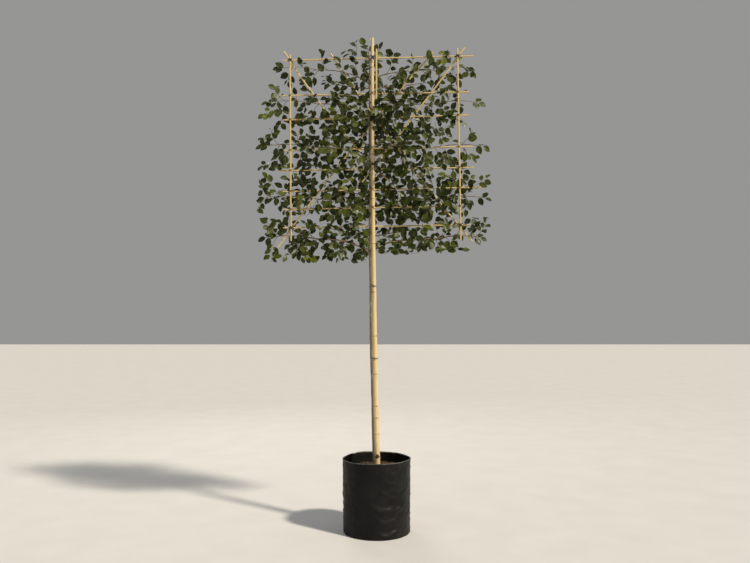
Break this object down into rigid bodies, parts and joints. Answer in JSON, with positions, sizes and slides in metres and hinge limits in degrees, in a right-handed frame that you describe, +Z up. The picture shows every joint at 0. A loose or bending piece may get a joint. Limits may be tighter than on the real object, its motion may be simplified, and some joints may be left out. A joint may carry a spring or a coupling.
{
  "type": "potted espalier tree",
  "caption": "Young evergreen tree trained flat as an espalier on a tied frame of bamboo canes, on a tall clear stem in a round black grow bag.",
  "frame": {"origin": "centre of the grow bag's flat underside", "axes": "+Z up along the stem, +X to the right along the flat crown, -Y out of the espalier's front, where the mast stands"},
  "size_m": [1.5597, 0.4341, 3.1809],
  "materials": {
    "bag": "black film",
    "soil": "moist compost",
    "bark": "young grey-brown bark",
    "bamboo": "pale bamboo",
    "tie": "black tubing",
    "leaf": "glossy dark green leaves"
  },
  "bodies": {
    "root": {"bough_left_1": "bark", "bough_left_2": "bark", "bough_left_3": "bark", "bough_left_4": "bark", "bough_left_5": "bark", "bough_right_1": "bark", "bough_right_2": "bark", "bough_right_3": "bark", "bough_right_4": "bark", "bough_right_5": "bark", "cross_cane_1": "bamboo", "cross_cane_2": "bamboo", "cross_cane_3": "bamboo", "cross_cane_4": "bamboo", "cross_cane_5": "bamboo", "cross_cane_6": "bamboo", "cross_cane_7": "bamboo", "cross_cane_8": "bamboo", "diagonal_left_long": "bamboo", "diagonal_left_short": "bamboo", "diagonal_right_long": "bamboo", "diagonal_right_short": "bamboo", "foliage_leader": "leaf", "foliage_left_inner_1": "leaf", "foliage_left_inner_2": "leaf", "foliage_left_inner_3": "leaf", "foliage_left_inner_4": "leaf", "foliage_left_inner_5": "leaf", "foliage_left_outer_1": "leaf", "foliage_left_outer_2": "leaf", "foliage_left_outer_3": "leaf", "foliage_left_outer_4": "leaf", "foliage_left_outer_5": "leaf", "foliage_right_inner_1": "leaf", "foliage_right_inner_2": "leaf", "foliage_right_inner_3": "leaf", "foliage_right_inner_4": "leaf", "foliage_right_inner_5": "leaf", "foliage_right_outer_1": "leaf", "foliage_right_outer_2": "leaf", "foliage_right_outer_3": "leaf", "foliage_right_outer_4": "leaf", "foliage_right_outer_5": "leaf", "grow_bag": "bag", "leader_cane": "bamboo", "mast": "bamboo", "soil": "soil", "tie_diagonal": "tie", "tie_low_left": "tie", "tie_low_right": "tie", "tie_mast_head": "tie", "tie_top_left": "tie", "tie_top_right": "tie", "trunk": "bark", "trunk_tie_1": "tie", "trunk_tie_2": "tie", "trunk_tie_3": "tie", "trunk_tie_4": "tie", "upright_left": "bamboo", "upright_right": "bamboo"}
  },
  "joints": []
}
